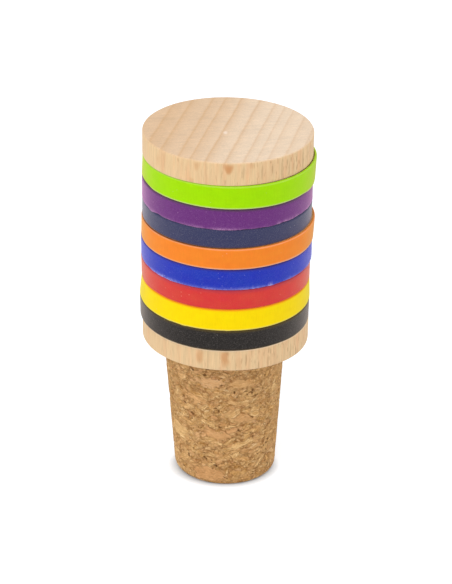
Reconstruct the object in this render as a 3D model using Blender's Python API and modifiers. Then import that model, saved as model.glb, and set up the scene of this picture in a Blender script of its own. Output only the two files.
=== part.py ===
# Wooden bottle stopper: a turned beech head whose groove carries a stack of flat silicone bands,
# glued by its tenon into a tapered plug of agglomerated cork.
# Units are metres, +Z is up, and the origin is the middle of the cork's foot, on which it stands.

import math

import bmesh
import bpy
from mathutils import Matrix, Vector

# Wooden head
DISC_DIAMETER = 0.032
TOP_DISC_THICKNESS = 0.0045
LOWER_DISC_THICKNESS = 0.0042
DISC_EDGE_ROUNDING = 0.0004
TENON_DIAMETER = 0.010
TENON_LENGTH = 0.014
TENON_CHAMFER = 0.0008

# Cork plug
CORK_TOP_DIAMETER = 0.0236
CORK_FOOT_DIAMETER = 0.0194
CORK_LENGTH = 0.0289
CORK_TOP_ROUNDING = 0.0004
CORK_FOOT_ROUNDING = 0.0011
GLUE_WELL_DEPTH = 0.0008

# Dents in the cork's side where granules lie low
DENT_COUNT = 72
DENT_LENGTH = 0.0026
DENT_WIDTH = 0.0014
DENT_DEPTH = 0.00028
DENT_VARIATION = 0.2
DENT_SLANT = math.radians(40)
DENT_TURN = math.radians(137.5)
DENT_MARGIN = 0.0028

# Silicone bands
BAND_WIDTH = 0.0039
BAND_THICKNESS = 0.00175
BAND_PROUD = 0.00025
BAND_EDGE_ROUNDING = 0.0005

# Clearances
GLUE_LINE = 0.0003
TENON_CLEARANCE = 0.0003
BAND_BORE_CLEARANCE = 0.0003
BAND_SIDE_CLEARANCE = 0.00028

# Facets of the turned shapes
TURN_STEPS = 64
ARC_STEPS = 2

# Materials: colour, roughness
BEECH = ((0.72, 0.50, 0.31), 0.60)
CORK = ((0.48, 0.27, 0.11), 0.90)

# Bands from the top disc down: name, colour
BANDS = [
    ("lime_band", (0.38, 0.78, 0.01)),
    ("purple_band", (0.16, 0.04, 0.19)),
    ("navy_band", (0.06, 0.06, 0.13)),
    ("orange_band", (0.90, 0.24, 0.03)),
    ("blue_band", (0.03, 0.05, 0.47)),
    ("red_band", (0.70, 0.05, 0.05)),
    ("yellow_band", (0.98, 0.72, 0.01)),
    ("black_band", (0.04, 0.03, 0.03)),
]
BAND_ROUGHNESS = 0.45

# Sizes that follow from the driving dimensions
band_pitch = BAND_WIDTH + BAND_SIDE_CLEARANCE
groove_length = len(BANDS) * band_pitch + BAND_SIDE_CLEARANCE
disc_radius = DISC_DIAMETER / 2
band_outer_radius = disc_radius + BAND_PROUD
band_bore_radius = band_outer_radius - BAND_THICKNESS
core_radius = band_bore_radius - BAND_BORE_CLEARANCE
tenon_radius = TENON_DIAMETER / 2
hole_radius = tenon_radius + TENON_CLEARANCE
head_seat = CORK_LENGTH + GLUE_LINE
hole_floor = head_seat - TENON_LENGTH - GLUE_WELL_DEPTH
groove_floor = LOWER_DISC_THICKNESS
groove_top = groove_floor + groove_length
head_top = groove_top + TOP_DISC_THICKNESS


def clear_scene():
    for obj in list(bpy.data.objects):
        bpy.data.objects.remove(obj, do_unlink=True)


def rounded_outline(corners):
    """Turns (radius, height, rounding) corners into points, with an arc at each rounded corner."""
    points = []
    for index, (radius, height, rounding) in enumerate(corners):
        corner = Vector((radius, height))
        if not rounding:
            points.append(corner)
            continue
        back = (Vector(corners[index - 1][:2]) - corner).normalized()
        onward = (Vector(corners[(index + 1) % len(corners)][:2]) - corner).normalized()
        half_angle = back.angle(onward) / 2
        setback = rounding / math.tan(half_angle)
        centre = corner + (back + onward).normalized() * rounding / math.sin(half_angle)
        start = (corner + back * setback - centre).normalized()
        end = (corner + onward * setback - centre).normalized()
        for step in range(ARC_STEPS + 1):
            points.append(centre + start.slerp(end, step / ARC_STEPS) * rounding)
    return points


def turned_mesh(name, corners, ring=False):
    """Turns an outline about Z with a Screw modifier and returns the mesh that it makes.

    The outline runs down the outer side. It starts and ends on the axis, or closes on itself in a ring.
    """
    points = rounded_outline(corners)
    edges = [(i, i + 1) for i in range(len(points) - 1)]
    if ring:
        edges.append((len(points) - 1, 0))
    outline = bpy.data.meshes.new(name + "_outline")
    outline.from_pydata([(point.x, 0, point.y) for point in points], edges, [])
    helper = bpy.data.objects.new(name + "_outline", outline)
    bpy.context.scene.collection.objects.link(helper)
    screw = helper.modifiers.new("turn", "SCREW")
    screw.axis = "Z"
    screw.angle = math.tau
    screw.steps = TURN_STEPS
    screw.render_steps = TURN_STEPS
    screw.use_merge_vertices = True
    screw.merge_threshold = 0.00001
    return finished_mesh(name, helper)


def finished_mesh(name, helper):
    """Takes the mesh that a helper's modifiers make, shades it and removes the helper."""
    graph = bpy.context.evaluated_depsgraph_get()
    mesh = bpy.data.meshes.new_from_object(helper.evaluated_get(graph))
    mesh.name = name
    mesh.shade_smooth()
    mesh.set_sharp_from_angle(angle=math.radians(35))
    source = helper.data
    bpy.data.objects.remove(helper, do_unlink=True)
    bpy.data.meshes.remove(source)
    return mesh


def dent_matrix(index):
    """Where a dent lies: spread round and up the side, turned and sized a little differently each time."""
    height = DENT_MARGIN + (CORK_LENGTH - 2 * DENT_MARGIN) * (index + 0.5) / DENT_COUNT
    skin = (CORK_FOOT_DIAMETER + (CORK_TOP_DIAMETER - CORK_FOOT_DIAMETER) * height / CORK_LENGTH) / 2
    size = 1 + DENT_VARIATION * math.sin(2 * index)
    shape = Matrix.Diagonal((DENT_DEPTH, DENT_LENGTH / 2 * size, DENT_WIDTH / 2 * size, 1))
    slant = Matrix.Rotation(DENT_SLANT * math.sin(5 * index), 4, "X")
    onto_side = Matrix.Translation((skin, 0, height))
    return Matrix.Rotation(DENT_TURN * index, 4, "Z") @ onto_side @ slant @ shape


def dented_mesh(name, mesh):
    """Cuts flat ellipsoids out of a mesh's side with a Boolean modifier."""
    cutters = bmesh.new()
    for index in range(DENT_COUNT):
        bmesh.ops.create_icosphere(cutters, subdivisions=1, radius=1, matrix=dent_matrix(index))
    cutter_mesh = bpy.data.meshes.new(name + "_cutters")
    cutters.to_mesh(cutter_mesh)
    cutters.free()
    cutter = bpy.data.objects.new(name + "_cutters", cutter_mesh)
    helper = bpy.data.objects.new(name + "_whole", mesh)
    bpy.context.scene.collection.objects.link(cutter)
    bpy.context.scene.collection.objects.link(helper)
    cut = helper.modifiers.new("dents", "BOOLEAN")
    cut.operation = "DIFFERENCE"
    cut.solver = "EXACT"
    cut.object = cutter
    dented = finished_mesh(name, helper)
    bpy.data.objects.remove(cutter, do_unlink=True)
    bpy.data.meshes.remove(cutter_mesh)
    return dented


def plain_material(name, colour, roughness):
    material = bpy.data.materials.new(name)
    material.use_nodes = True
    shader = material.node_tree.nodes["Principled BSDF"]
    shader.inputs["Base Color"].default_value = (*colour, 1)
    shader.inputs["Roughness"].default_value = roughness
    shader.inputs["Metallic"].default_value = 0
    return material


def place(name, mesh, material, collection, parent, height):
    """Puts a piece at its height on the axis of what carries it."""
    piece = bpy.data.objects.new(name, mesh)
    collection.objects.link(piece)
    if not mesh.materials:
        mesh.materials.append(None)
    piece.material_slots[0].link = "OBJECT"
    piece.material_slots[0].material = material
    piece.parent = parent
    piece.location.z = height
    return piece


def head_outline():
    """Top disc, groove, lower disc and tenon in one outline, from the underside of the lower disc."""
    return [
        (0, head_top, 0),
        (disc_radius, head_top, DISC_EDGE_ROUNDING),
        (disc_radius, groove_top, DISC_EDGE_ROUNDING),
        (core_radius, groove_top, 0),
        (core_radius, groove_floor, 0),
        (disc_radius, groove_floor, DISC_EDGE_ROUNDING),
        (disc_radius, 0, DISC_EDGE_ROUNDING),
        (tenon_radius, 0, 0),
        (tenon_radius, TENON_CHAMFER - TENON_LENGTH, 0),
        (tenon_radius - TENON_CHAMFER, -TENON_LENGTH, 0),
        (0, -TENON_LENGTH, 0),
    ]


def cork_outline():
    """Blind hole for the tenon, then the tapered side down to the rounded foot."""
    return [
        (0, hole_floor, 0),
        (hole_radius, hole_floor, 0),
        (hole_radius, CORK_LENGTH, 0),
        (CORK_TOP_DIAMETER / 2, CORK_LENGTH, CORK_TOP_ROUNDING),
        (CORK_FOOT_DIAMETER / 2, 0, CORK_FOOT_ROUNDING),
        (0, 0, 0),
    ]


def band_outline():
    """Flat strip with rounded outer edges and square edges at the bore, from its lower side."""
    return [
        (band_bore_radius, BAND_WIDTH, 0),
        (band_outer_radius, BAND_WIDTH, BAND_EDGE_ROUNDING),
        (band_outer_radius, 0, BAND_EDGE_ROUNDING),
        (band_bore_radius, 0, 0),
    ]


def build_stopper():
    collection = bpy.data.collections.new("bottle_stopper")
    bpy.context.scene.collection.children.link(collection)
    base = bpy.data.objects.new("stopper_base", None)
    base.empty_display_size = CORK_FOOT_DIAMETER
    collection.objects.link(base)

    cork = dented_mesh("cork_plug", turned_mesh("cork_whole", cork_outline()))
    place("cork_plug", cork, plain_material("cork", *CORK), collection, base, 0)

    head_mesh = turned_mesh("wooden_head", head_outline())
    head = place("wooden_head", head_mesh, plain_material("beech", *BEECH), collection, base, head_seat)

    band_mesh = turned_mesh("band", band_outline(), ring=True)
    for index, (name, colour) in enumerate(BANDS):
        silicone = plain_material(name, colour, BAND_ROUGHNESS)
        height = groove_top - (index + 1) * band_pitch
        place(name, band_mesh, silicone, collection, head, height)


clear_scene()
build_stopper()
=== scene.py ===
import math

import bpy
import numpy as np
from mathutils import Matrix, Vector


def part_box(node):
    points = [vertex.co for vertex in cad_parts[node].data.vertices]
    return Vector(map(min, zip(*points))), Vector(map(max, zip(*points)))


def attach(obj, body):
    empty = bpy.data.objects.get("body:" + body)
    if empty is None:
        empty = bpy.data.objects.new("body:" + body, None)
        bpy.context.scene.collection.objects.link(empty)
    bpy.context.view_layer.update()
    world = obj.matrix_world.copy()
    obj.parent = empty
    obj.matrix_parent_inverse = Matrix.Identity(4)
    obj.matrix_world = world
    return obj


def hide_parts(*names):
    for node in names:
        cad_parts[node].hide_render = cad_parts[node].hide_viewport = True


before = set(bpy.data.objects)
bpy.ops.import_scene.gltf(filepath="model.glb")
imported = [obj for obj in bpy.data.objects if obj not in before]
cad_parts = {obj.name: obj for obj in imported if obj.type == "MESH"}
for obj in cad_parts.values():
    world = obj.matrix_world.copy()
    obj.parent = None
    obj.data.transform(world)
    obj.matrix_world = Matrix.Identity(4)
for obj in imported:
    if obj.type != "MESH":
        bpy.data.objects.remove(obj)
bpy.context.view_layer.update()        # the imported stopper: one body and its nodes
mm = 0.001


# Helpers for meshes

def addObject(name, data):
    added = bpy.data.objects.new(name, data)
    bpy.context.scene.collection.objects.link(added)
    return added


# A surface from a (rows, columns, 3) array of points whose columns run round the axis. A closed ring's rows
# join up too. Otherwise a fan to its mean point closes the first and the last row.
def gridMesh(name, points, marks, closed=False):
    rows, columns = points.shape[:2]
    vertices = points.reshape(-1, 3)
    index = np.arange(rows * columns).reshape(rows, columns)
    upper, lower = (index, np.roll(index, -1, 0)) if closed else (index[:-1], index[1:])
    quads = np.stack([upper, lower, np.roll(lower, -1, 1), np.roll(upper, -1, 1)], axis=-1).reshape(-1, 4)
    faces = quads.tolist()
    ends = [] if closed else [0, -1]
    for row in ends:
        fan = np.stack([np.full(columns, len(vertices)), index[row], np.roll(index[row], -1)], axis=-1)
        vertices = np.vstack([vertices, points[row].mean(axis=0)])
        faces += (fan[:, ::-1] if row else fan).tolist()    # turned round at the last row
    mesh = bpy.data.meshes.new(name)
    mesh.from_pydata(vertices, [], faces)
    mesh.validate()
    mesh.shade_smooth()
    for key, values in marks.items():
        grid = np.asarray(values, np.float32)
        layer = mesh.attributes.new(key, "FLOAT", "POINT")
        flat = np.concatenate([grid.ravel(), [grid[row].mean() for row in ends]])
        layer.data.foreach_set("value", flat.astype(np.float32))
    return addObject(name, mesh)


def unit(vector):
    return vector / np.linalg.norm(vector)


# An outline through (radius, height, rounding) corners with an arc at each rounded one. Points are about a
# spacing apart, or what a corner's fourth number says on the way to it, and at most 20 degrees on an arc.
def roundedOutline(corners, spacing):
    gaps = [corner[3] if len(corner) > 3 else spacing for corner in corners]
    corners = np.array([corner[:3] for corner in corners], float)
    points = []
    for before, here, after in zip(np.roll(corners, 1, 0), corners, np.roll(corners, -1, 0)):
        corner, rounding = here[:2], here[2]
        if rounding <= 0:
            points.append(corner[None])
            continue
        back, onward = unit(before[:2] - corner), unit(after[:2] - corner)
        half = math.acos(np.clip(back @ onward, -1, 1)) / 2
        centre = corner + unit(back + onward) * rounding / math.sin(half)
        start = corner + back * rounding / math.tan(half) - centre
        end = corner + onward * rounding / math.tan(half) - centre
        side = end - (end @ start) * start / rounding ** 2
        side *= rounding / np.linalg.norm(side)
        sweep = math.pi - 2 * half
        count = max(4, 1 + math.ceil(math.degrees(sweep) / 20), 1 + math.ceil(sweep * rounding / spacing))
        swing = np.linspace(0, sweep, count)[:, None]
        points.append(centre + start * np.cos(swing) + side * np.sin(swing))
    path = [points[0][:1]]
    for stretch, step in zip(points, gaps):
        gap = stretch[0] - path[-1][-1]
        count = int(np.linalg.norm(gap) / step)
        steps = np.arange(1, count + 1)[:, None] / (count + 1)
        path += [path[-1][-1] + gap * steps, stretch]
    return np.vstack(path[1:])


# Value noise from -1 to 1: fixed random heights at a lattice's corners, eased between them. A cell is one
# size in mm, or one for each axis.
def softNoise(points, cell, seed):
    scaled = points / (np.asarray(cell) * mm)
    corner = np.floor(scaled).astype(np.int64)
    part = scaled - corner
    part = part * part * (3 - 2 * part)
    total = 0
    for offset in np.ndindex(2, 2, 2):
        weight = np.prod(np.where(np.array(offset) == 1, part, 1 - part), axis=-1)
        x, y, z = np.moveaxis(corner + np.array(offset), -1, 0)
        mixed = (x * 73856093) ^ (y * 19349663) ^ (z * 83492791) ^ (seed * 265443576)
        mixed = ((mixed ^ (mixed >> 13)) * 1274126177) & 0x7FFFFFFF
        total = total + weight * ((mixed ^ (mixed >> 15)) & 0xFFFF) / 0xFFFF
    return total * 2 - 1


# 0 below low, 1 above high, eased between.
def fade(value, low, high):
    part = np.clip((value - low) / (high - low), 0, 1)
    return part * part * (3 - 2 * part)


# A (top, foot) pair's value at a part of the way from foot to top.
def between(pair, part):
    top, foot = pair
    return foot + (top - foot) * part


# Turns an outline of (radius, height) round the axis: x = r cos t, y = r sin t.
def turn(outline, columns):
    angle = np.linspace(0, math.tau, columns, endpoint=False)
    radius, height = outline[:, 0, None], outline[:, 1, None]
    return np.stack([radius * np.cos(angle), radius * np.sin(angle), height + 0 * angle], axis=-1), angle


# How far round from a bearing, in radians: 0 degrees faces the camera and more is further right.
def fromFront(angle, degrees):
    return (angle - math.radians(degrees - 90) + math.pi) % math.tau - math.pi


# A colour as a screen shows it, 0 to 255, as the linear value that shaders use.
def paint(red, green, blue):
    shown = np.array([red, green, blue]) / 255
    linear = np.where(shown <= 0.04045, shown / 12.92, ((shown + 0.055) / 1.055) ** 2.4)
    return (*linear.tolist(), 1)


# Helpers for materials

# Gives sockets a value or another node's output.
def feed(tree, node, sockets):
    for key, value in sockets.items():
        if isinstance(value, bpy.types.NodeSocket):
            tree.links.new(value, node.inputs[key])
        else:
            node.inputs[key].default_value = value


def addNode(tree, kind, sockets=None, **settings):
    node = tree.nodes.new("ShaderNode" + kind)
    for key, value in settings.items():
        setattr(node, key, value)
    feed(tree, node, sockets or {})
    return node


def maths(tree, operation, *values, clamp=False):
    return addNode(tree, "Math", dict(enumerate(values)), operation=operation, use_clamp=clamp).outputs[0]


# A curve through (place, level) stops, where a level is a grey or a colour.
def ramp(tree, value, stops):
    node = addNode(tree, "ValToRGB", {"Fac": value})
    elements = node.color_ramp.elements
    while len(elements) < len(stops):
        elements.new(1)
    for element, (place, level) in zip(elements, stops):
        element.position = place
        element.color = level if isinstance(level, tuple) else (level, level, level, 1)
    return node.outputs["Color"]


# The Mix node keeps its colours' sockets at 6 and 7 and their result at 2.
def blendColour(tree, amount, first, second, kind="MIX"):
    sockets = {0: amount, 6: first, 7: second}
    return addNode(tree, "Mix", sockets, data_type="RGBA", blend_type=kind).outputs[2]


# Darkens or lightens a colour by each level in turn.
def shadeBy(tree, colour, *levels):
    for level in levels:
        colour = blendColour(tree, 1, colour, level, "MULTIPLY")
    return colour


# Carries 0 to 1 over to low to high.
def around(tree, value, low, high):
    return maths(tree, "MULTIPLY_ADD", value, high - low, low)


# Coordinates in millimetres times a scale for each axis, turned about Z first.
def stretched(tree, vector, scale, turned=0.0):
    if turned:
        vector = addNode(tree, "Mapping", {"Vector": vector, "Rotation": (0, 0, turned)}).outputs[0]
    return addNode(tree, "Mapping", {"Vector": vector, "Scale": scale}).outputs[0]


# Smooth noise from 0 to 1. A scale for each axis gives streaks.
def noise(tree, vector, scale=1.0, detail=2.0, roughness=0.5):
    if isinstance(scale, tuple):
        vector, scale = stretched(tree, vector, scale), 1.0
    values = {"Vector": vector, "Scale": scale, "Detail": detail, "Roughness": roughness}
    return addNode(tree, "TexNoise", values).outputs["Fac"]


# A shader node group that takes a place, numbers and colours, and gives a colour, a roughness and a height.
def newGroup(name, numbers, colours=()):
    tree = bpy.data.node_groups.new(name, "ShaderNodeTree")
    inputs = {"Place": "Vector"} | dict.fromkeys(numbers, "Float") | dict.fromkeys(colours, "Color")
    outputs = {"Colour": "Color", "Roughness": "Float", "Height": "Float"}
    for way, sockets in (("INPUT", inputs), ("OUTPUT", outputs)):
        for key, kind in sockets.items():
            tree.interface.new_socket(key, in_out=way, socket_type="NodeSocket" + kind)
    return tree, tree.nodes.new("NodeGroupInput").outputs, tree.nodes.new("NodeGroupOutput")


# Gives a finished piece its body and a material of one finish group, which takes the object's own coordinates
# in mm, plain values and the marks on the mesh, and hides the CAD node that the piece stands in for.
def dress(piece, node, name, group, values, marks, bump, shaderValues):
    material = bpy.data.materials.new(name)
    material.use_nodes = True
    tree = material.node_tree
    place = stretched(tree, addNode(tree, "TexCoord").outputs["Object"], (1 / mm,) * 3)
    sockets = {"Place": place} | values
    for mark in marks:
        sockets[mark] = addNode(tree, "Attribute", attribute_name=mark).outputs["Fac"]
    finish = addNode(tree, "Group", sockets, node_tree=group).outputs
    relief = addNode(tree, "Bump", {"Height": finish["Height"], "Distance": bump}).outputs[0]
    sockets = {"Base Color": finish["Colour"], "Roughness": finish["Roughness"], "Normal": relief}
    feed(tree, tree.nodes["Principled BSDF"], sockets | shaderValues)
    piece.data.materials.append(material)
    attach(piece, "root")
    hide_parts(node)


# Levels of the CAD model that the pieces follow

headLow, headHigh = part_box("wooden_head")
corkLow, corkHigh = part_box("cork_plug")
limeLow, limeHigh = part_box("lime_band")
bandGap = limeLow.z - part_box("purple_band")[1].z
grooveTop = limeHigh.z + bandGap
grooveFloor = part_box("black_band")[0].z - bandGap
glueLine = 0.3 * mm
glueWell = 0.8 * mm
discUnder = corkHigh.z + glueLine
holeFloor = headLow.z - glueWell
poleRadius = 0.3 * mm       # of the ring round each pole


# Wooden head: one turned piece of beech

headShape = {
    "rimRounding": 0.25 * mm,
    "shoulderRounding": 0.08 * mm,       # at the groove
    "footRounding": 0.12 * mm,           # under the lower disc
    "lowerRadius": 16.07 * mm,
    "coreRadius": 14.2 * mm,
    "tenonRadius": 5 * mm,
    "tenonChamfer": 0.8 * mm,
    "columns": 776,
    "spacing": 0.3 * mm,         # rows on the sides that show
    "plainSpacing": 1.6 * mm,    # rows inside the groove and on the tenon
    "topSpacing": 0.55 * mm,
    "unevenness": 0.015 * mm,
    "lean": -0.1 * mm,           # sideways place of the top disc over the lower one
    "underTilt": 1.65,           # degrees that the underside's right half drops
    "centreMark": (-0.51 * mm, -1.79 * mm, 0.4 * mm, 0.7 * mm),    # x, y and radii of the lathe's mark on top
    "markDepth": 0.06 * mm,
    "shoulderHighlight": 0.5,             # strength of the painted highlight on the lower disc's upper edge
    # Growth rings across the top, left to right: where each line crosses y = 0, in mm
    "ringLines": (-16.6, -13.0, -10.0, -6.1, -3.75, -0.7, 3.0, 6.2, 8.3, 10.2, 13.0, 15.7, 18.0),
    "ringSlope": 0.213,          # how far a line runs right for each mm towards the back
    "ringWander": 0.06 * mm,
    # Ray patches: degrees from the front, height, half width and half height in mm, strength, narrowing down
    "patches": (
        (0.8, 70.4, 0.62, 0.95, 0.9, 0.5), (-20.5, 70.4, 0.5, 0.85, 0.4, 0.3),
        (-24, 67.6, 0.45, 0.5, 0.35, 0.0), (15.5, 70.9, 0.5, 0.6, 0.3, 0.0),
        (-52, 69.3, 0.6, 1.2, 0.2, 0.0), (-17, 31.9, 0.6, 1.4, 0.6, 0.1),
        (0.3, 31.6, 0.75, 1.6, 0.75, 0.1), (9, 30.8, 0.5, 1.1, 0.15, 0.0),
    ),
    "vesselWidth": 0.12 * mm,
    # Dark vessel lines: degrees from the front, height and half length in mm, strength
    "vessels": (
        (-46, 69.8, 1.5, 0.2), (-34, 70.9, 0.4, 0.45), (-14, 69.2, 2.4, 0.22), (-1.5, 67.8, 0.5, 0.35),
        (10.5, 69.6, 1.2, 0.3), (20, 67.4, 0.4, 0.35), (23, 69.4, 1.3, 0.42), (29, 71.1, 0.25, 0.5),
        (30.5, 69.6, 0.9, 0.5), (38, 69.2, 1.6, 0.45), (42.5, 70.2, 0.6, 0.5), (44.5, 68.7, 1.4, 0.35),
        (46, 70.5, 0.4, 0.55), (49, 69.0, 1.1, 0.35), (51.5, 70.1, 0.6, 0.45), (54.5, 69.2, 0.4, 0.5),
        (59, 69.2, 1.7, 0.4), (66, 69.4, 1.4, 0.3), (-48, 31.6, 1.2, 0.18), (-11.5, 31.2, 2.1, 0.2),
        (14.5, 31.3, 1.2, 0.65), (18, 32.7, 0.8, 0.25), (23.5, 29.8, 0.7, 0.45), (27, 32.0, 0.4, 0.25),
        (30.5, 30.1, 1.2, 0.45), (32.5, 32.1, 0.5, 0.4), (35.5, 31.2, 0.6, 0.2), (44.5, 31.1, 1.5, 0.3),
        (51, 30.6, 1.5, 0.35), (68, 30.9, 1.0, 0.2),
    ),
}
woodLooks = {
    "long": paint(232, 197, 150),
    "rose": paint(232, 187, 140),
    "end": paint(241, 217, 190),
    "line": paint(221, 181, 138),
    "fleck": paint(142, 94, 54),
    "patch": paint(208, 146, 92),
    # Colour of the painted highlight on the lower disc's upper edge
    "pale": paint(250, 226, 194),
    "mark": paint(250, 228, 208),
    "bump": 0.04 * mm,
    "shader": {"Specular IOR Level": 0.25},
    # How dark the wood is from one ring's line to the next, as (part of the ring, level)
    "lineProfile": ((0, 1.0), (0.06, 0.74), (0.14, 0.46), (0.35, 0.2), (0.65, 0.05),
                    (0.84, 0.02), (0.92, 0.35), (0.97, 0.88), (1, 1.0)),
    # How dark each ring's line and its whole ring are, left to right
    "lineTones": (0.34, 0.3, 0.4, 0.38, 0.44, 0.7, 0.46, 0.5, 0.3, 0.5, 0.38, 0.32, 0.25),
    "ringTones": (0.65, 0.73, 0.54, 0.56, 0.45, 0.16, 0.07, 0.02, 0.02, 0.02, 0.05, 0.1, 0.15),
}


# Beech: growth rings and rays on end grain, streaks and flecks on long grain.
def makeGrainGroup(looks, marks):
    tree, given, result = newGroup("beech grain", marks)
    place = given["Place"]
    ringCount = len(looks["ringTones"])
    wobble = around(tree, noise(tree, place, (0.35, 0.35, 0.05)), -0.05, 0.05)
    jitter = around(tree, noise(tree, place, (2.6, 2.6, 0.2)), -0.025, 0.025)
    age = maths(tree, "ADD", given["Ring Age"], maths(tree, "ADD", wobble, jitter))
    oldness = maths(tree, "DIVIDE", age, ringCount)
    line = ramp(tree, maths(tree, "FRACT", age), looks["lineProfile"])
    middles = [(number + 0.5) / ringCount for number in range(ringCount)]
    lineTone = ramp(tree, oldness, list(zip(middles, looks["lineTones"])))
    ringTone = ramp(tree, oldness, list(zip(middles, looks["ringTones"])))

    # End grain: rings crossed by fine rays and dotted with pores
    rays = noise(tree, stretched(tree, place, (0.3, 4.5, 0.3), math.radians(-12)), 1, 3, 0.6)
    pores = noise(tree, place, (3.4, 3.4, 1.0), 3, 0.75)
    cloud = noise(tree, place, (0.3, 0.3, 0.1), 3, 0.6)
    endDark = maths(tree, "MULTIPLY_ADD", line, lineTone, ringTone, clamp=True)
    endColour = blendColour(tree, endDark, looks["end"], looks["line"])
    endColour = shadeBy(tree, endColour, around(tree, rays, 0.84, 1.16), around(tree, pores, 0.8, 1.2),
                        around(tree, cloud, 0.92, 1.08))

    # Long grain: soft upright streaks, fine fibres, dark vessel lines and ray patches
    side = addNode(tree, "SeparateXYZ", {"Vector": place}).outputs["X"]
    tangential = addNode(tree, "MapRange", {"Value": side, "From Min": -6.0, "From Max": 12.0}).outputs[0]
    streaks = noise(tree, place, (2.3, 2.3, 0.1), 3, 0.6)
    fibres = noise(tree, place, (5, 5, 0.35), 3, 0.65)
    rose = ramp(tree, noise(tree, place, (0.8, 0.8, 0.1), 2), ((0.45, 0), (0.68, 1)))
    longColour = blendColour(tree, rose, looks["long"], looks["rose"])
    longColour = shadeBy(tree, longColour, around(tree, streaks, 0.86, 1.14),
                         around(tree, fibres, 0.84, 1.16))
    longColour = blendColour(tree, given["Ray Patch"], longColour, looks["patch"])
    short = ramp(tree, noise(tree, place, (3.6, 3.6, 0.5), 2, 0.6), ((0.58, 0), (0.7, 1)))
    short = maths(tree, "MULTIPLY", short, around(tree, tangential, 0.1, 0.5))
    dark = maths(tree, "MAXIMUM", short, given["Vessel"])
    longColour = blendColour(tree, dark, longColour, looks["fleck"])
    # Painted highlight along the lower disc's upper edge
    longColour = blendColour(tree, given["Shoulder Highlight"], longColour, looks["pale"])

    colour = blendColour(tree, given["End Grain"], longColour, endColour)
    colour = blendColour(tree, given["Centre Mark"], colour, looks["mark"])
    height = maths(tree, "MULTIPLY_ADD", dark, -0.8, around(tree, fibres, 0, 0.6))
    feed(tree, result, {"Colour": colour, "Roughness": around(tree, pores, 0.5, 0.7), "Height": height})
    return tree


# Top disc, groove, lower disc and tenon as (radius, height, rounding) corners.
def headOutline(shape):
    disc, lower, core, tenon = headHigh.x, shape["lowerRadius"], shape["coreRadius"], shape["tenonRadius"]
    rim, shoulder, plain = shape["rimRounding"], shape["shoulderRounding"], shape["plainSpacing"]
    return [
        (poleRadius, headHigh.z, 0), (disc, headHigh.z, rim, shape["topSpacing"]),
        (disc, grooveTop, shoulder), (core, grooveTop, 0, plain),
        (core, grooveFloor, 0, plain), (lower, grooveFloor, shoulder, plain),
        (lower, discUnder, shape["footRounding"]), (tenon, discUnder, 0, plain),
        (tenon, headLow.z + shape["tenonChamfer"], 0, plain), (tenon - shape["tenonChamfer"], headLow.z, 0),
        (poleRadius, headLow.z, 0, plain),
    ]


# Counts growth rings: a point's sideways place, sheared along the rings, between the ring lines.
def ringAge(points, shape):
    place = points[..., 0] - shape["ringSlope"] * points[..., 1]
    place = place + shape["ringWander"] * softNoise(points, (4, 4, 40), 3)
    return np.interp(place / mm, shape["ringLines"], np.arange(len(shape["ringLines"])))


# Warm patches where the side cuts a ray: each fades sideways and upright from its middle.
def rayPatches(points, angle, shape):
    patch = np.zeros(points.shape[:2])
    for degrees, height, halfWidth, halfHeight, strength, narrowing in shape["patches"]:
        upright = (points[..., 2] - height * mm) / (halfHeight * mm) + 0.35 * softNoise(points, 1.3, 9)
        width = halfWidth * mm * np.clip(1 + narrowing * upright, 0.2, 2)
        sideways = fromFront(angle, degrees) * headHigh.x / width + 0.4 * softNoise(points, 1.1, 8)
        patch = np.maximum(patch, strength * np.exp(-sideways ** 4 - upright ** 4))
    return patch


# Dark upright lines where the side cuts open vessels, a little wavy.
def vesselLines(points, angle, shape):
    lines = np.zeros(points.shape[:2])
    waver = 0.5 * softNoise(points, (3, 3, 0.8), 4)
    for degrees, height, halfLength, strength in shape["vessels"]:
        sideways = fromFront(angle, degrees) * headHigh.x / shape["vesselWidth"] + waver
        upright = (points[..., 2] - height * mm) / (halfLength * mm)
        lines = np.maximum(lines, strength * np.exp(-sideways ** 2 - upright ** 4))
    return lines


# The turned outline, slightly uneven where sanded, with a dimple at the lathe's centre.
def makeHead(shape, looks):
    outline = roundedOutline(headOutline(shape), shape["spacing"])
    points, angle = turn(outline, shape["columns"])
    run = np.abs(np.gradient(outline, axis=0))
    endGrain = np.repeat((run[:, 0] / run.sum(axis=1))[:, None], shape["columns"], axis=1)
    below = (grooveFloor - points[..., 2]) / mm
    # A painted highlight along the lower disc's upper edge, just under the groove
    shoulderHighlight = shape["shoulderHighlight"] * fade(below, 0, 0.06) * fade(below, 0.34, 0.14)
    marks = {
        "Ring Age": ringAge(points, shape), "End Grain": endGrain, "Shoulder Highlight": shoulderHighlight,
        "Ray Patch": rayPatches(points, angle, shape) * (1 - endGrain),
        "Vessel": vesselLines(points, angle, shape) * (1 - endGrain),
    }
    radial = points * np.array([1, 1, 0]) / np.hypot(points[..., 0], points[..., 1])[..., None]
    points = points + radial * shape["unevenness"] * softNoise(points, 3, 5)[..., None]
    markX, markY, halfWidth, halfDepth = shape["centreMark"]
    away = np.hypot((points[..., 0] - markX) / halfWidth, (points[..., 1] - markY) / halfDepth)
    marks["Centre Mark"] = np.exp(-away ** 4) * (points[..., 2] > headHigh.z - 0.1 * mm)
    points[..., 2] -= shape["markDepth"] * marks["Centre Mark"]
    under = np.abs(points[..., 2] - discUnder) < 1 * mm
    points[..., 2] -= under * np.tan(math.radians(shape["underTilt"])) * np.maximum(points[..., 0], 0)
    points[..., 0] += shape["lean"] * (points[..., 2] - discUnder) / (headHigh.z - discUnder)
    piece = gridMesh("head", points, marks)
    group = makeGrainGroup(looks, marks)
    dress(piece, "wooden_head", "beech", group, {}, marks, looks["bump"], looks["shader"])


makeHead(headShape, woodLooks)
print("head turned")


# Cork plug: granules pressed and glued together

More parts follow.
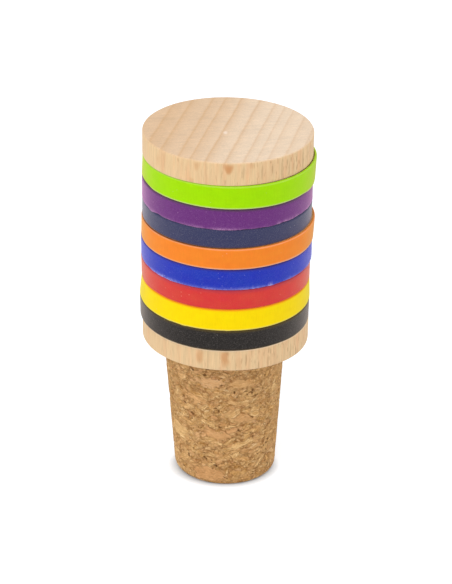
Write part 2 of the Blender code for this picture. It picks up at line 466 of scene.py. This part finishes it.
corkShape = {
    "topRadius": 11.84 * mm,
    "footRadius": 9.93 * mm,
    "topRounding": 0.4 * mm,
    "footRounding": 0.95 * mm,
    "holeRadius": 5.3 * mm,
    "columns": 414,
    "spacing": 0.154 * mm,       # rows on the side
    "faceSpacing": 0.5 * mm,     # rows on the foot and the top
    "boreSpacing": 3 * mm,
    "lean": (-0.18 * mm, 0.34 * mm),      # sideways place of the top and of the foot
    "seed": 21,
    # Big granules: degrees from the front, height and half thickness in mm, stretch, slant in degrees, tone,
    # ruddiness
    "marked": (
        (-56, 10.2, 1.5, 1.9, -8, 0.6, 0.0), (-9, 11.8, 0.95, 3.4, -14, 0.48, 0.6),
        (16, 9.4, 0.7, 3.2, 12, 0.58, 0.0), (-19, 2.2, 1.6, 1.9, 4, 0.44, 0.6),
        (-30, 19.5, 0.8, 2.4, -10, 0.5, 0.4), (16, 23.6, 0.9, 3.0, 8, 0.5, 0.3),
        (44, 4.4, 0.42, 4.6, 48, 0.64, 0.0), (34, 6.8, 0.4, 4.2, 38, 0.58, 0.2),
        (22, 15.4, 0.9, 2.4, 6, 0.42, 0.5), (-50, 4.6, 0.8, 2.2, 30, 0.5, 0.1),
    ),
    # The others, large to small: half thickness and spacing of their seeds in mm, least and most stretch
    "granules": ((1.0, 7.0, 1.8, 3.2), (0.5, 2.3, 1.6, 3.4),
                 (0.26, 0.84, 1.6, 3.6), (0.17, 0.6, 1.4, 3.0)),
    "slant": 34,                 # degrees of the slow change of the granules' direction
    "scatter": 24,               # and of the chance part
    "reach": 4 * mm,             # from a point to the seeds looked at for it
    "warp": 0.36 * mm,           # how far noise bends the granules
    "seamWidth": 0.14 * mm,
    "seamDepth": 0.04 * mm,
    "pitDepth": 0.1 * mm,
    "roughness": 0.03 * mm,
    "toneSpread": 0.09,
    "ruddySpread": 0.25,
    # Dents in the side where granules lie low, as in the CAD model
    "dents": {"count": 72, "length": 2.6 * mm, "width": 1.4 * mm, "depth": 0.28 * mm, "variation": 0.2,
              "slant": math.radians(40), "turn": math.radians(137.5), "margin": 2.8 * mm},
}
corkLooks = {
    "tones": ((0.0, paint(164, 113, 58)), (0.3, paint(201, 149, 86)), (0.5, paint(219, 171, 111)),
              (0.7, paint(238, 194, 134)), (1.0, paint(255, 224, 172))),
    "ruddy": paint(216, 159, 108),
    "fleck": paint(128, 76, 28),
    "hollow": paint(106, 68, 32),
    "bump": 0.1 * mm,
    "shader": {"Specular IOR Level": 0.15, "Sheen Weight": 0.35, "Sheen Roughness": 0.42,
               "Sheen Tint": paint(255, 208, 140)},      # the sheen of cut cells seen aslant
}


# Distance from each point to each granule's seed in its half thicknesses, shorter along its own axis.
def ellipsoidDistances(points, granules):
    apart = (points[:, None] - granules["seed"]).astype(np.float32)
    along = np.einsum("psc,sc->ps", apart, granules["axis"].astype(np.float32))
    square = np.einsum("psc,psc->ps", apart, apart) - along ** 2 * (1 - 1 / granules["stretch"] ** 2)
    return np.sqrt(np.maximum(square, 0)) / granules["half"]


# Each point's nearest granule, and its distances to that one and the next, worked out block by block.
# A block is points of one level and side, and a granule counts in it when its seed lies within reach.
def nearestTwo(points, granules, reach, blockHeight=1.2 * mm, sectors=20):
    level = np.floor(points[:, 2] / blockHeight).astype(int)
    sector = np.floor(np.arctan2(points[:, 1], points[:, 0]) / math.tau * sectors).astype(int)
    _, block = np.unique(level * 100 + sector, return_inverse=True)
    nearest = np.zeros(len(points), int)
    pair = np.full((len(points), 2), 9.0)
    for number in range(block.max() + 1):
        part = np.flatnonzero(block == number)
        here = points[part]
        low, high = here.min(axis=0) - reach, here.max(axis=0) + reach
        close = np.flatnonzero(((granules["seed"] > low) & (granules["seed"] < high)).all(axis=1))
        if len(close) < 2:
            continue
        scaled = ellipsoidDistances(here, {key: values[close] for key, values in granules.items()})
        order = np.argsort(scaled, axis=1)[:, :2]
        nearest[part] = close[order[:, 0]]
        pair[part] = np.take_along_axis(scaled, order, axis=1)
    return nearest, pair


# The plug's radius at a height: straight from the foot's to the top's.
def skinRadius(height, shape):
    return shape["footRadius"] + (shape["topRadius"] - shape["footRadius"]) * height / corkHigh.z


# A direction on the plug's side: level where the slant is 0, and rising to the right above it.
def alongSkin(bearing, slant):
    level = np.cos(slant)
    return np.stack([-np.sin(bearing) * level, np.cos(bearing) * level, np.sin(slant)], axis=-1)


# The big granules in their places on the skin.
def markedGranules(shape):
    marks = np.array(shape["marked"])
    bearing, height = np.radians(marks[:, 0] - 90), marks[:, 1] * mm
    radius = skinRadius(height, shape)
    seed = np.stack([radius * np.cos(bearing), radius * np.sin(bearing), height], axis=-1)
    return {"seed": seed, "half": marks[:, 2] * mm, "axis": alongSkin(bearing, np.radians(marks[:, 4])),
            "stretch": marks[:, 3]}


# Seeds of each size on a jittered lattice near the plug's skin. A seed inside a bigger granule is dropped.
# Granules lie along the skin, mostly level, at a slant that changes slowly from place to place.
def scatterGranules(shape):
    random = np.random.default_rng(shape["seed"])
    granules = markedGranules(shape)
    extent = shape["topRadius"] + 1 * mm
    for half, spacing, least, most in shape["granules"]:
        half, spacing = half * mm, spacing * mm
        steps = np.arange(-extent, extent + spacing, spacing)
        levels = np.arange(-1 * mm, corkHigh.z + 1 * mm, spacing)
        seeds = np.stack(np.meshgrid(steps, steps, levels, indexing="ij"), axis=-1).reshape(-1, 3)
        seeds = seeds + random.uniform(-0.5, 0.5, seeds.shape) * spacing
        skin = skinRadius(seeds[:, 2], shape)
        distance = np.hypot(seeds[:, 0], seeds[:, 1])
        near = (distance < skin + 1.3 * half) & ((distance > skin - 2.4 * half) | (seeds[:, 2] < 2 * half))
        seeds = seeds[near]
        _, pair = nearestTwo(seeds, granules, shape["reach"])
        seeds = seeds[pair[:, 0] > 0.9]
        count = len(seeds)
        bearing = np.arctan2(seeds[:, 1], seeds[:, 0])
        slant = shape["slant"] * softNoise(seeds, 8, 31) + random.normal(0, shape["scatter"], count)
        added = {"seed": seeds, "half": half * random.uniform(0.7, 1.3, count),
                 "axis": alongSkin(bearing, np.radians(slant)), "stretch": random.uniform(least, most, count)}
        granules = {key: np.concatenate([values, added[key]]) for key, values in granules.items()}
    return granules


# How deep the flat hollows cut at each point: half an ellipsoid each, spread round and up the side.
def corkDents(points, dents):
    depth = np.zeros(points.shape[:2])
    for number in range(dents["count"]):
        height = dents["margin"] + (corkHigh.z - 2 * dents["margin"]) * (number + 0.5) / dents["count"]
        turned, slant = dents["turn"] * number, dents["slant"] * math.sin(5 * number)
        size = (1 + dents["variation"] * math.sin(2 * number)) / 2
        level = points[..., 1] * math.cos(turned) - points[..., 0] * math.sin(turned)
        facing = points[..., 0] * math.cos(turned) + points[..., 1] * math.sin(turned)
        rise = points[..., 2] - height
        along = (level * math.cos(slant) + rise * math.sin(slant)) / (dents["length"] * size)
        across = (rise * math.cos(slant) - level * math.sin(slant)) / (dents["width"] * size)
        hollow = np.sqrt(np.clip(1 - along ** 2 - across ** 2, 0, 1)) * (facing > 0)
        depth = np.maximum(depth, dents["depth"] * hollow)
    return depth


# Tone, ruddiness, seam and pit at each point, its place in its own granule's axes, and how deep it is cut.
def corkField(points, shape):
    granules = scatterGranules(shape)
    random = np.random.default_rng(shape["seed"] + 1)
    count = len(granules["seed"])
    grid = points.shape[:2]
    warp = np.stack([softNoise(points, 1.2, seed) for seed in (11, 12, 13)], axis=-1)
    flat = (points + shape["warp"] * warp).reshape(-1, 3)
    nearest, pair = nearestTwo(flat, granules, shape["reach"])
    half = granules["half"][nearest].reshape(grid)
    border = (pair[:, 1] - pair[:, 0]).reshape(grid) * half / 2
    radial = granules["seed"] * np.array([1, 1, 0])
    radial /= np.linalg.norm(radial, axis=1, keepdims=True)
    side = np.cross(granules["axis"], radial)
    away = flat - granules["seed"][nearest]
    size = fade(granules["half"], 0.15 * mm, 0.9 * mm)
    ownValues = {
        "Tone": np.clip(random.normal(0.5, shape["toneSpread"], count) + 0.06 * (size - 0.3), 0.2, 0.76),
        "Ruddy": np.clip(random.normal(0.12, shape["ruddySpread"], count), 0, 0.8),
        "Grit": random.uniform(0.55, 1, count) * (1 - 0.45 * size),
        "Swell": random.uniform(-1, 1, count),
        "Number": random.uniform(0, 40, count),
    }
    marks = np.array(shape["marked"])
    ownValues["Tone"][:len(marks)] = marks[:, 5]
    ownValues["Ruddy"][:len(marks)] = marks[:, 6]
    field = {key: values[nearest].reshape(grid) for key, values in ownValues.items()}
    for key, direction in (("Along", granules["axis"]), ("Across", side)):
        field[key] = np.einsum("pc,pc->p", away, direction[nearest]).reshape(grid) / mm
    seamPart = fade(softNoise(points, 0.7, 17), -0.5, 0.4)
    seamWidth = shape["seamWidth"] * np.clip(half / (0.45 * mm), 0.3, 1)
    field["Seam"] = np.clip(1 - border / seamWidth, 0, 1) * (0.25 + 0.75 * seamPart)
    clusters = softNoise(points, 3.5, 7)
    pitted = fade(softNoise(points, (0.5, 0.5, 0.36), 6) + 0.25 * clusters, 0.66, 0.86)
    field["Pit"] = pitted * fade(-border, -0.25 * mm, -0.08 * mm)
    relief = softNoise(points, (0.6, 0.6, 0.35), 2) + 0.6 * softNoise(points, 0.3, 15)
    relief = shape["roughness"] * (relief * field["Grit"] + 0.7 * field.pop("Swell"))
    cuts = shape["seamDepth"] * field["Seam"] + shape["pitDepth"] * field["Pit"]
    return field, cuts + corkDents(points, shape["dents"]) - relief


# Agglomerated cork: tones and streaks of its granules, dark flecks, seams and hollows.
def makeCorkGroup(looks, marks):
    tree, given, result = newGroup("cork granules", marks)
    place = given["Place"]
    sockets = {"X": given["Along"], "Y": given["Across"], "Z": given["Number"]}
    own = addNode(tree, "CombineXYZ", sockets).outputs[0]
    streaks = maths(tree, "SUBTRACT", noise(tree, own, (0.9, 3.2, 1), 3, 0.65), 0.5)
    speckle = around(tree, noise(tree, place, (3.6, 3.6, 4.6), 3, 0.7), -0.25, 0.25)
    patch = noise(tree, place, (0.45, 0.45, 0.7), 2)
    tone = maths(tree, "MULTIPLY_ADD", streaks, around(tree, given["Grit"], 0.6, 2.0), given["Tone"])
    tone = maths(tree, "MULTIPLY_ADD", speckle, given["Grit"], tone)
    wander = addNode(tree, "TexNoise", {"Vector": place, "Scale": 2.0, "Detail": 2.0}).outputs["Color"]
    sockets = {0: wander, 1: (0.6, 0.6, 0), 2: own}
    bent = addNode(tree, "VectorMath", sockets, operation="MULTIPLY_ADD").outputs[0]
    chip = {"Vector": stretched(tree, bent, (0.75, 1.9, 1)), "Scale": 1.0}
    chipColour = addNode(tree, "TexVoronoi", chip).outputs["Color"]
    pick = addNode(tree, "SeparateColor", {"Color": chipColour}).outputs[0]
    tone = maths(tree, "MULTIPLY_ADD", around(tree, pick, -0.12, 0.12), given["Grit"], tone)
    colour = ramp(tree, tone, looks["tones"])
    colour = blendColour(tree, given["Ruddy"], colour, looks["ruddy"])
    colour = shadeBy(tree, colour, around(tree, patch, 0.9, 1.1), around(tree, streaks, 1, 1.35))
    clusters = ramp(tree, noise(tree, place, 0.55, 2), ((0.4, 0.25), (0.6, 1)))
    gritty = maths(tree, "MULTIPLY", clusters, given["Grit"])
    flecks = ramp(tree, noise(tree, own, (2.2, 5.0, 1), 2, 0.6), ((0.6, 0), (0.68, 0.8)))
    chipEdge = addNode(tree, "TexVoronoi", chip, feature="DISTANCE_TO_EDGE").outputs["Distance"]
    lines = ramp(tree, chipEdge, ((0, 0.75), (0.06, 0.5), (0.13, 0)))
    lines = maths(tree, "MULTIPLY", lines, ramp(tree, noise(tree, place, 1.5, 2), ((0.46, 0.05), (0.62, 1))))
    small = maths(tree, "MULTIPLY", maths(tree, "MAXIMUM", flecks, lines), gritty)
    dark = maths(tree, "MAXIMUM", small, maths(tree, "MULTIPLY", given["Seam"], 0.76))
    colour = blendColour(tree, dark, colour, looks["fleck"])
    colour = blendColour(tree, given["Pit"], colour, looks["hollow"])
    height = maths(tree, "SUBTRACT", around(tree, streaks, 0.5, 1.5), dark)
    feed(tree, result, {"Colour": colour, "Roughness": around(tree, speckle, 0.86, 1), "Height": height})
    return tree


# The tapered outline turned once, then cut back in seams and pits between its granules.
def makeCork(shape, looks):
    bore, face = shape["boreSpacing"], shape["faceSpacing"]
    corners = [(poleRadius, holeFloor, 0), (shape["holeRadius"], holeFloor, 0, bore),
               (shape["holeRadius"], corkHigh.z, 0, bore),
               (shape["topRadius"], corkHigh.z, shape["topRounding"], face),
               (shape["footRadius"], corkLow.z, shape["footRounding"]), (poleRadius, corkLow.z, 0, face)]
    outline = roundedOutline(corners, shape["spacing"])
    points, _ = turn(outline, shape["columns"])
    field, depth = corkField(points, shape)
    run = np.gradient(outline, axis=0)
    run /= np.linalg.norm(run, axis=1, keepdims=True)
    outward, _ = turn(np.stack([-run[:, 1], run[:, 0]], axis=-1), shape["columns"])
    skin = (outline[:, 0] > shape["holeRadius"] * 1.02) & (outline[:, 1] < corkHigh.z - 0.05 * mm)
    depth = np.where(points[..., 2] < 0.4 * mm, np.maximum(depth, 0), depth) * skin[:, None]
    points = points - outward * depth[..., None]
    points[..., 0] += between(shape["lean"], np.clip(points[..., 2] / corkHigh.z, 0, 1))
    piece = gridMesh("corkPlug", points, field)
    group = makeCorkGroup(looks, field)
    dress(piece, "cork_plug", "agglomerated cork", group, {}, field, looks["bump"], looks["shader"])


makeCork(corkShape, corkLooks)
print("cork plug shaped")


# Silicone bands, from the top disc down

bandShape = {
    "boreRadius": 14.24 * mm,
    "upperRounding": 0.4 * mm,
    "lowerRounding": 0.16 * mm,
    "columns": 880,
    "spacing": 0.24 * mm,      # rows on the outer face
    "edgeSpacing": 0.07 * mm,  # rows near its edges
    "edgeHeight": 0.6 * mm,
    "boreSpacing": 2 * mm,
    "touch": 0.03 * mm,        # between one band's foot and the next one's top
    "limeTop": 0.015 * mm,     # under the top disc
    "swell": 0.05 * mm,        # slow unevenness of the outer face
    "relief": 0.006 * mm,
    "tearDrop": 0.16 * mm,     # how far a torn lip hangs down
    "tearProud": 0.05 * mm,    # and stands out
    "bump": 0.03 * mm,
    "sheenRoughness": 0.42,
}
# What not every band has
plainBand = {
    "rim": 0,         # strength of a painted highlight along its top edge
    "footShade": 0,    # of a line of painted shade at its foot
    "footWearAndHighlight": 0,        # of a pale line there: painted highlight, partly wear
    "torn": 0,        # and of torn flash
    "nicks": (),      # degrees from the front, width in degrees, drop in mm
    "chalk": (),      # spots as degrees, width, strength
    "bloom": 0,
    "gloss": 0.1,
}
# Each band's colour, pale form and the colour of its painted shade, which for yellow and black is also a
# painted reflection of the band above; outer radius and sideways shift in mm and tilt down to the right in
# degrees, at its top and its foot; how far its foot lies under the CAD band's; strength of the painted shade
# at its top and its reach in mm from under what lies above; dust; tint of the sheen seen aslant
bandLooks = {
    "lime_band": {
        "colour": (164, 226, 4), "pale": (208, 208, 150), "shade": (146, 176, 36),
        "outer": (16.28, 16.26), "shift": (0.28, 0.1), "drop": 0.34, "tilt": (0.08, 0.75),
        "creviceShade": (0.5, 0.42), "rim": 0.3, "footWearAndHighlight": 0.95, "nicks": ((-72, 20, -0.25), (72, 20, 0.25)),
        "dust": 0.05, "gloss": 0.0, "sheen": (255, 228, 150)},
    "purple_band": {
        "colour": (103, 43, 117), "pale": (200, 150, 192), "shade": (78, 60, 72),
        "outer": (16.1, 16.1), "shift": (-0.11, -0.08), "drop": 0.38, "tilt": (0.6, 0.1),
        "creviceShade": (0.8, 0.55), "torn": 0.8, "chalk": ((46, 30, 0.35), (31, 5, 0.3)),
        "nicks": ((-61, 7, 0.22), (-52, 6, -0.14), (12, 5, -0.08), (30, 7, 0.1), (41, 5, -0.12),
                  (54, 6, -0.1)),
        "dust": 0.4, "bloom": 0.2, "sheen": (246, 178, 222)},
    "navy_band": {
        "colour": (52, 55, 90), "pale": (160, 154, 164), "shade": (92, 60, 58),
        "outer": (16.08, 16.08), "shift": (-0.06, -0.08), "drop": -0.09, "tilt": (0.25, 0.25),
        "creviceShade": (0.0, 0.2), "footShade": 0.7,
        "dust": 0.5, "bloom": 0.25, "sheen": (198, 188, 188)},
    "orange_band": {
        "colour": (249, 136, 44), "pale": (246, 196, 168), "shade": (122, 62, 28),
        "outer": (16.42, 16.34), "shift": (0.19, 0.05), "drop": -0.03, "tilt": (-0.15, -0.15),
        "creviceShade": (0.85, 0.42), "rim": 0.4, "footWearAndHighlight": 0.75, "nicks": ((62, 44, 0.2),),
        "dust": 0.08, "gloss": 0.0, "sheen": (250, 220, 160)},
    "blue_band": {
        "colour": (29, 52, 178), "pale": (168, 166, 222), "shade": (56, 44, 112),
        "outer": (16.28, 16.24), "shift": (-0.1, -0.06), "drop": -0.02, "tilt": (0.0, 0.0),
        "creviceShade": (0.75, 0.62), "torn": 0.9, "nicks": ((32, 4, 0.08), (-38, 5, 0.08)),
        "chalk": ((31, 4, 0.8), (18, 5, 0.35), (42, 12, 0.4), (56, 9, 0.3), (-37, 4, 0.6), (-46, 3, 0.5)),
        "dust": 0.35, "bloom": 0.12, "sheen": (176, 168, 236)},
    "red_band": {
        "colour": (218, 57, 53), "pale": (236, 164, 144), "shade": (150, 52, 84),
        "outer": (16.15, 16.1), "shift": (-0.18, -0.12), "drop": -0.07, "tilt": (0.25, 0.25),
        "creviceShade": (0.5, 1.0), "nicks": ((-72, 24, 0.18),),
        "dust": 0.35, "bloom": 0.08, "sheen": (246, 186, 154)},
    "yellow_band": {
        "colour": (254, 220, 6), "pale": (226, 212, 120), "shade": (238, 134, 30),
        "outer": (16.06, 16.36), "shift": (-0.12, -0.24), "drop": 0.1, "tilt": (0.3, 0.3),
        "creviceShade": (0.9, 0.6), "footWearAndHighlight": 0.8, "nicks": ((2.5, 3.4, 0.06), (-28, 5, 0.08), (-40, 4, 0.06)),
        "dust": 0.05, "gloss": 0.0, "sheen": (252, 240, 140)},
    "black_band": {
        "colour": (30, 27, 26), "pale": (150, 142, 136), "shade": (88, 72, 30),
        "outer": (16.36, 16.3), "shift": (-0.24, -0.22), "drop": 0.2, "tilt": (0.52, 0.52),
        "creviceShade": (0.75, 0.7), "footShade": 0.6, "nicks": ((62, 36, 0.13),),
        "dust": 0.5, "bloom": 0.28, "sheen": (190, 172, 158)},
}


# Moulded silicone: mottled, with upright scuffs, pale dust, painted shade in its crevices, a chalky edge and
# pale lines along its edges that are painted highlights, the foot's partly wear.
def makeSiliconeGroup():
    numbers = ("Painted Shade", "Torn Edge", "Highlight And Wear", "Dust", "Bloom")
    tree, given, result = newGroup("silicone skin", numbers, ("Colour", "Pale", "Shade"))
    place, pale = given["Place"], given["Pale"]
    mottle = noise(tree, place, (0.5, 0.5, 0.7), 3, 0.6)
    hue = around(tree, noise(tree, place, (0.35, 0.35, 0.6), 2), 0.494, 0.506)
    scuff = noise(tree, place, (5, 5, 0.5), 3, 0.6)
    grit = noise(tree, place, 6.0, 3, 0.75)
    colour = addNode(tree, "HueSaturation", {"Color": given["Colour"], "Hue": hue}).outputs[0]
    colour = shadeBy(tree, colour, around(tree, mottle, 0.94, 1.06), around(tree, scuff, 0.93, 1.07))
    bloom = maths(tree, "MULTIPLY", ramp(tree, grit, ((0.5, 0), (0.72, 1))), given["Bloom"])
    colour = blendColour(tree, bloom, colour, pale)
    cell = addNode(tree, "TexVoronoi", {"Vector": place, "Scale": 1.3})
    pick = addNode(tree, "SeparateColor", {"Color": cell.outputs["Color"]})
    speck = maths(tree, "LESS_THAN", cell.outputs["Distance"], around(tree, pick.outputs[1], 0.05, 0.14))
    speck = maths(tree, "MULTIPLY", speck, maths(tree, "LESS_THAN", pick.outputs[0], given["Dust"]))
    speck = maths(tree, "MULTIPLY", speck, around(tree, pick.outputs[2], 0.15, 0.6))
    colour = blendColour(tree, speck, colour, pale)
    # Painted shade: darkens towards the shade colour under what lies above and along some feet
    colour = blendColour(tree, given["Painted Shade"], colour, given["Shade"])
    crumbs = ramp(tree, noise(tree, place, 4.5, 2, 0.7), ((0.36, 0.25), (0.56, 1)))
    torn = maths(tree, "MULTIPLY", given["Torn Edge"], crumbs, clamp=True)
    # Torn flash, and the pale edge lines that are painted highlights, partly wear, all in the pale colour
    colour = blendColour(tree, maths(tree, "MAXIMUM", torn, given["Highlight And Wear"]), colour, pale)
    height = maths(tree, "MULTIPLY_ADD", grit, 0.5, speck)
    feed(tree, result, {"Colour": colour, "Roughness": around(tree, scuff, 0.36, 0.54), "Height": height})
    return tree


# A flat strip's section as (radius, height, rounding) corners, with closer rows near its edges.
def bandOutline(shape, outer, top, foot):
    bore, edge, close = shape["boreRadius"], shape["edgeHeight"], shape["edgeSpacing"]
    return [
        (bore, top, 0, shape["boreSpacing"]), (outer - 0.3 * mm, top, 0, shape["boreSpacing"]),
        (outer, top, shape["upperRounding"], close), (outer, top - edge, 0, close),
        (outer, foot + edge, 0), (outer, foot, shape["lowerRounding"], close),
        (bore, foot, 0, shape["boreSpacing"]),
    ]


# Adds up marks at their bearings: each one's value times a flat bell of its width in degrees.
def spots(angle, marks):
    total = 0 * angle
    for degrees, width, value in marks:
        total = total + value * np.exp(-(fromFront(angle, degrees) / math.radians(width) * 2) ** 4)
    return total


# The strip turned once round the core, its outer face a little off centre, tilted and uneven.
# Its lower edge hangs in a ragged lip where flash was torn off, and drops or lifts at each nick.
def makeBand(node, shape, looks, top, foot, cover, skin, seed):
    outer = max(looks["outer"]) * mm
    outline = roundedOutline(bandOutline(shape, outer, top, foot), shape["spacing"])
    points, angle = turn(outline, shape["columns"])
    radius, height = outline[:, 0, None], outline[:, 1, None]
    outward = np.clip((radius - shape["boreRadius"]) / (outer - shape["boreRadius"]), 0, 1)
    part = (height - foot) / (top - foot)
    fromTop = (top - height - (outer - radius)) / mm      # along the section from its top edge, down the face
    fromFoot = (height - foot - (outer - radius)) / mm    # and from its foot, up the face
    radial = np.stack([np.cos(angle), np.sin(angle), 0 * angle], axis=-1)
    ring = radial * outer
    ragged = 0.6 * softNoise(ring, 0.5, seed + 20) + softNoise(ring, 1.7, seed + 40)
    stretches = np.clip(0.8 + 1.2 * softNoise(ring, 6, seed + 60), 0.3, 1)
    torn = looks["torn"] * stretches * np.clip(0.6 + 0.5 * ragged, 0, 1)
    edge = np.exp(-(fromFoot / 0.3) ** 2) * outward ** 4
    proud = shape["swell"] * softNoise(ring, 7, seed)
    proud = proud + shape["relief"] * softNoise(points, 0.8, seed) + shape["tearProud"] * torn * edge
    proud = proud + between(looks["outer"], part) * mm - outer
    points = points + radial * (outward * proud)[..., None]
    points[..., 2] -= edge * (shape["tearDrop"] * torn + spots(angle, looks["nicks"]) * mm)
    points[..., 0] += outward * between(looks["shift"], part) * mm
    points[..., 2] -= outward * np.tan(np.radians(between(looks["tilt"], part))) * points[..., 0]
    # Painted shade at the top, fading out from under the edge of what lies above, and a painted shade line at
    # some feet
    (darkness, reach), chalk = looks["creviceShade"], spots(angle, looks["chalk"])
    coverRadius, coverShift = cover
    bare = np.hypot(points[..., 0] - coverShift * mm, points[..., 1]) / mm - coverRadius + (top - height) / mm
    # Pale lines: a painted highlight along the top edge, and one along the foot that is partly wear
    rim = looks["rim"] * np.exp(-((fromTop - 0.12) / 0.12) ** 2)
    footWearAndHighlight = looks["footWearAndHighlight"] * np.exp(-((fromFoot - 0.09) / 0.15) ** 2)
    marks = {
        "Painted Shade": np.maximum(darkness * fade(bare, reach, 0) * fade(part, 0.3, 0.5),
                              looks["footShade"] * fade(fromFoot, 0.4, 0.04) * fade(part, 0.5, 0.3)),
        "Torn Edge": outward ** 4 * (1.2 * torn * np.exp(-(fromFoot / 0.36) ** 2)
                                     + chalk * np.exp(-(fromFoot / 0.5) ** 2) * fade(ragged, -0.2, 0.5)),
        "Highlight And Wear": (rim + footWearAndHighlight) * (1 + 0.25 * ragged),
    }
    piece = gridMesh(node.replace("_band", "Band"), points, marks, closed=True)
    values = {key.capitalize(): paint(*looks[key]) for key in ("colour", "pale", "shade")}
    values |= {"Dust": looks["dust"], "Bloom": looks["bloom"]}
    shaderValues = {"Specular IOR Level": looks["gloss"], "Sheen Weight": 1,
                    "Sheen Roughness": shape["sheenRoughness"], "Sheen Tint": paint(*looks["sheen"])}
    slot, name = node.replace("_band", "_silicone"), node.replace("_band", " silicone")
    dress(piece, node, name, skin, values, marks, shape["bump"], shaderValues)


siliconeSkin = makeSiliconeGroup()
bandTop = grooveTop - bandShape["limeTop"]
cover = (headHigh.x / mm, 0)       # radius and sideways shift, in mm, of what lies above
for number, (nodeName, ownLooks) in enumerate(bandLooks.items()):
    nodeLooks = plainBand | ownLooks
    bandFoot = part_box(nodeName)[0].z - nodeLooks["drop"] * mm
    makeBand(nodeName, bandShape, nodeLooks, bandTop, bandFoot, cover, siliconeSkin, number + 1)
    bandTop = bandFoot - bandShape["touch"]
    cover = (nodeLooks["outer"][1], nodeLooks["shift"][1])
print("bands stacked")


# Floor, light and camera

stageLooks = {
    "halfWidth": 1.5,
    "glow": 0.56,                            # what the camera sees of the floor even in shadow, away from the foot
    "glowEdge": (8.9 * mm, 11.3 * mm),       # from its middle to where it starts and to where it is full; nearer, it is left out as painted shade
    "glowMiddle": (0.1 * mm, -2.1 * mm, 0),
    "glowStretch": (1, 1.24, 1),
    "cover": (0.66, 0.7, 0.74, 1),           # what the light and the shadow act on
    "ambient": 0.72,
    # Each lamp's place and watts
    "lamps": {"key": ((-0.22, -0.57, 0.75), 2.3), "side": ((-0.8, -0.4, 0.22), 2.06),
              "fill": ((0.8, -0.3, 0.2), 1.76)},
    "lampSize": 0.6,
}
viewSettings = {
    "target": (0, 0, 37.6 * mm),
    "distance": 413.7 * mm,
    "elevation": math.radians(26.96),
    "roll": math.radians(0.99),
    "lens": 132.14,
    "sensor": 36,       # mm, along the frame's long side
}


# 1 for camera, glossy and transmission rays, 0 for the rays that light a surface.
def seenDirectly(tree):
    path = addNode(tree, "LightPath")
    seen = maths(tree, "MAXIMUM", path.outputs["Is Camera Ray"], path.outputs["Is Glossy Ray"])
    return maths(tree, "MAXIMUM", seen, path.outputs["Is Transmission Ray"])


# A wide plane under the foot: a glow for the camera and reflections, and a matt coat that takes shadow.
# Near the foot the glow fades out: painted shade round it, on top of the real shadow.
def addFloor(looks):
    half = looks["halfWidth"]
    mesh = bpy.data.meshes.new("floor")
    corners = [(-half, -half, 0), (half, -half, 0), (half, half, 0), (-half, half, 0)]
    mesh.from_pydata(corners, [], [(0, 1, 2, 3)])
    material = bpy.data.materials.new("white floor")
    material.use_nodes = True
    tree = material.node_tree
    tree.nodes.remove(tree.nodes["Principled BSDF"])
    place = addNode(tree, "TexCoord").outputs["Object"]
    offset = addNode(tree, "VectorMath", {0: place, 1: looks["glowMiddle"]}, operation="SUBTRACT").outputs[0]
    offset = stretched(tree, offset, looks["glowStretch"])
    away = addNode(tree, "VectorMath", {0: offset}, operation="LENGTH").outputs["Value"]
    start, full = looks["glowEdge"]
    # Glow only away from the foot: painted shade round it, over the matt coat's real shadow
    spread = addNode(tree, "MapRange", {"Value": away, "From Min": start, "From Max": full}).outputs[0]
    strength = maths(tree, "MULTIPLY", maths(tree, "MULTIPLY", spread, looks["glow"]), seenDirectly(tree))
    glow = addNode(tree, "Emission", {"Strength": strength})
    matt = addNode(tree, "BsdfDiffuse", {"Color": looks["cover"]})
    both = addNode(tree, "AddShader", {0: glow.outputs[0], 1: matt.outputs[0]})
    feed(tree, tree.nodes["Material Output"], {"Surface": both.outputs[0]})
    mesh.materials.append(material)
    floor = addObject("floor", mesh)


# A white room: full white for the camera and reflections, a plain level for lighting.
def addWorld(looks):
    world = bpy.data.worlds.new("white room")
    world.use_nodes = True
    tree = world.node_tree
    level = around(tree, seenDirectly(tree), looks["ambient"], 1)
    feed(tree, tree.nodes["Background"], {"Color": (1, 1, 1, 1), "Strength": level})
    bpy.context.scene.world = world


# A square soft light that faces the stopper.
def addLamp(name, place, watts, size, target):
    data = bpy.data.lights.new(name, "AREA")
    data.energy = watts
    data.size = size
    lamp = addObject(name, data)
    lamp.location = place
    lamp.rotation_mode = "QUATERNION"
    lamp.rotation_quaternion = (Vector(target) - Vector(place)).to_track_quat("-Z", "Y")


# Stands off the target along the view's elevation and looks back at it.
def addCamera(settings):
    lift = settings["elevation"]
    back = Vector((0, -math.cos(lift), math.sin(lift)))
    data = bpy.data.cameras.new("camera")
    data.lens = settings["lens"]
    data.sensor_width = settings["sensor"]
    camera = addObject("camera", data)
    camera.matrix_world = (
        Matrix.Translation(Vector(settings["target"]) + back * settings["distance"])
        @ Matrix.Rotation(math.pi / 2 - lift, 4, "X")
        @ Matrix.Rotation(settings["roll"], 4, "Z")
    )
    bpy.context.scene.camera = camera


addFloor(stageLooks)
addWorld(stageLooks)
for lampName, (lampPlace, lampWatts) in stageLooks["lamps"].items():
    addLamp(lampName, lampPlace, lampWatts, stageLooks["lampSize"], viewSettings["target"])
addCamera(viewSettings)
bpy.context.scene.view_settings.view_transform = "Standard"
print("stage set")
